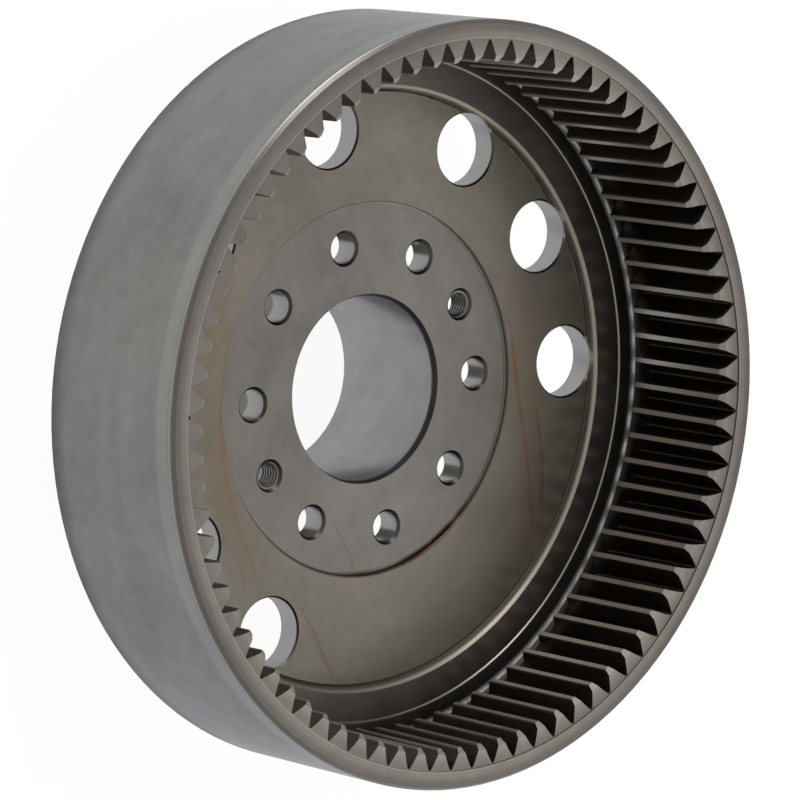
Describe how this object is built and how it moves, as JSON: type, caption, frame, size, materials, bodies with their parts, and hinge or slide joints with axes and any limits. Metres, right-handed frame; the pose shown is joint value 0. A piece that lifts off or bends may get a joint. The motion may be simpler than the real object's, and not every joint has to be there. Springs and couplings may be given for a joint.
{
  "type": "internal ring gear",
  "caption": "Cup-shaped internal ring gear with straight teeth inside its rim, a plate web with round holes, a bolted hub flange and a bored boss.",
  "frame": {"origin": "on the bore axis, at the end face of the boss that the gear stands on", "axes": "+Z along the bore axis towards the open, toothed side; +X through one of the two tapped holes, the other lies on -X"},
  "size_m": [0.3304, 0.3304, 0.1353],
  "materials": {
    "steel": "machined and ground steel with a light oil film, warm heat tint and thin rust runs"
  },
  "bodies": {
    "root": {"ring_gear": "steel"}
  },
  "joints": []
}
